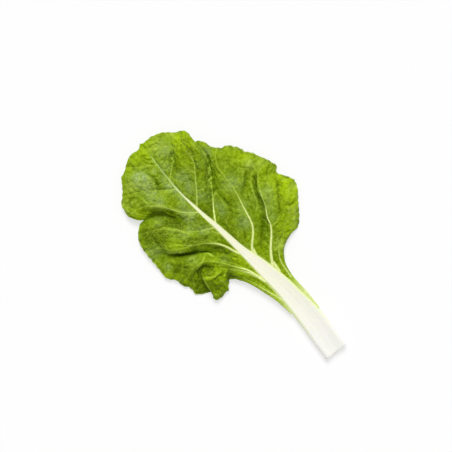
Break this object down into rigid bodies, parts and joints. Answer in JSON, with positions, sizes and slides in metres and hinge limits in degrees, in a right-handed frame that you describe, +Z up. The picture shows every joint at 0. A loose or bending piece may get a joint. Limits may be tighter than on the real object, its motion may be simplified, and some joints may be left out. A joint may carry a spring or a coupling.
{
  "type": "chard leaf",
  "caption": "Broad green leaf blade with waved, folded edges on a thick white stalk that narrows into the midrib, cut at its foot and lying face up.",
  "frame": {"origin": "middle of the footprint, on the surface that the leaf lies on", "axes": "+Y along the leaf from the cut end to the tip, +X to the right of a viewer looking down on its upper face, +Z up from the surface"},
  "size_m": [0.185, 0.331, 0.0175],
  "materials": {
    "stalk": "smooth, moist and faintly fibrous",
    "blade": "waxy satin, puckered between the veins"
  },
  "bodies": {
    "root": {"stalk": "stalk", "blade": "blade"}
  },
  "joints": []
}
